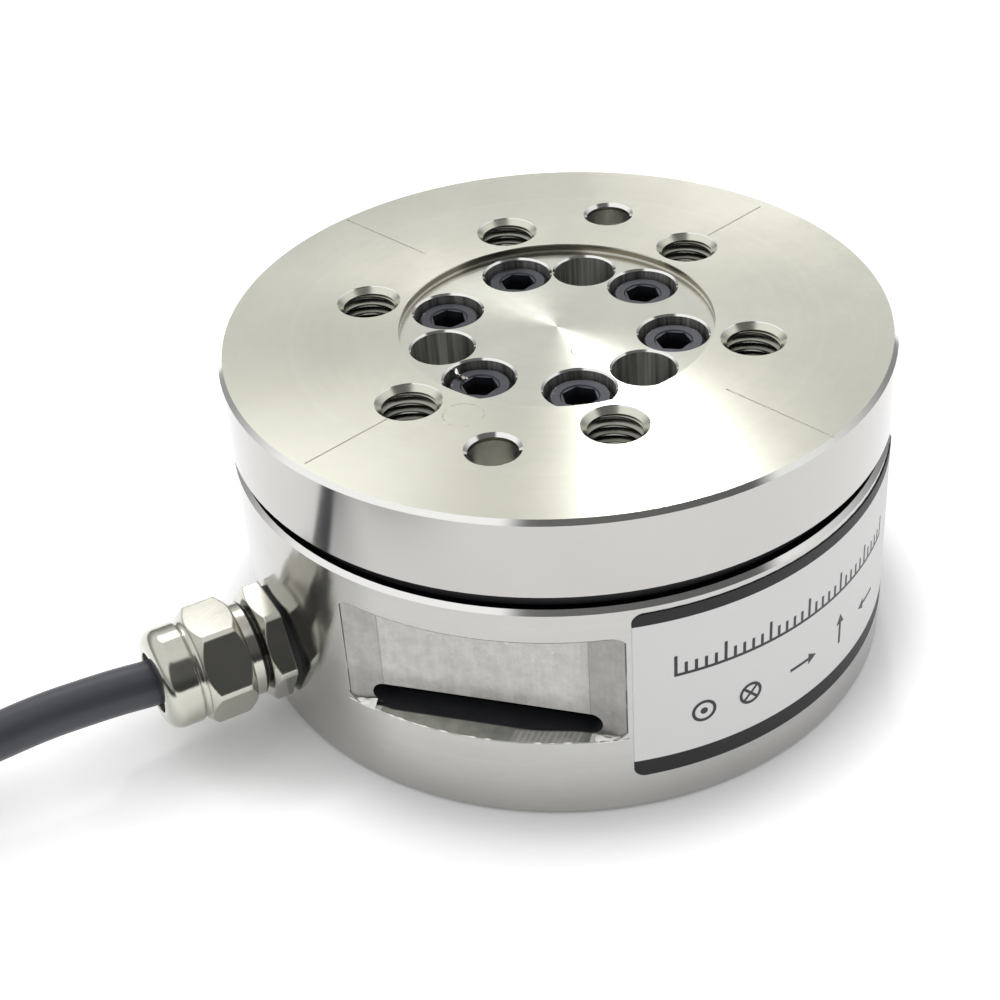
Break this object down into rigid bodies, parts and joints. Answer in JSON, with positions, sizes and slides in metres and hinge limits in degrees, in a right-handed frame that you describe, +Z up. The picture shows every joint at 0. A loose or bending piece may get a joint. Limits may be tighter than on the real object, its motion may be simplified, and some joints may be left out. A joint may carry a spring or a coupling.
{
  "type": "force torque sensor",
  "caption": "Round wrist force torque sensor: tapped tool flange on a slotted steel spring body, with a side cable gland and a coiled lead.",
  "frame": {"origin": "centre of the base's resting face", "axes": "+Z up along the sensor's axis, towards the tool flange; +X through a tapped hole of the flange; the gland points 164 degrees round from +X"},
  "size_m": [0.3435, 0.1362, 0.0553],
  "materials": {
    "flange_steel": "finely turned stainless steel with bright chamfers",
    "body_steel": "ground stainless steel with raw milled pockets",
    "black_screw": "black oxide",
    "pin_steel": "ground steel",
    "black_rubber": "matt",
    "gland_nickel": "bright nickel plate",
    "connector_nickel": "satin nickel plate",
    "ivory_nylon": "moulded",
    "tie_nylon": "moulded",
    "lead_jacket": "smooth dark grey jacket",
    "label_film": "satin film with black bands",
    "gauge_foil": "polyimide film",
    "gold_contact": "gold flash",
    "plain_brass": "turned",
    "board_green": "solder mask",
    "chip_black": "moulded",
    "cover_alloy": "turned, grey anodised"
  },
  "bodies": {
    "root": {"tool_flange": "flange_steel", "flange_screws": "black_screw", "drive_pins": "pin_steel", "dust_seal": "black_rubber", "spring_body": "body_steel", "strain_gauges": "gauge_foil", "solder_tabs": "gold_contact", "amplifier_board": "board_green", "board_chips": "chip_black", "header_block": "ivory_nylon", "board_pillars": "plain_brass", "board_screws": "pin_steel", "lead_tail": "lead_jacket", "base_cover": "cover_alloy", "cover_screws": "pin_steel", "cover_ring": "black_rubber", "gland_washer": "black_rubber", "gland_body": "gland_nickel", "gland_nut": "gland_nickel", "gland_cage": "ivory_nylon", "gland_seal": "black_rubber", "rating_label": "label_film", "lead_cable": "lead_jacket", "cable_coil": "lead_jacket", "cable_end": "lead_jacket", "coil_ties": "tie_nylon", "connector_back": "connector_nickel", "connector_shell": "connector_nickel", "connector_ring": "connector_nickel", "connector_insert": "chip_black", "connector_pins": "gold_contact"}
  },
  "joints": []
}
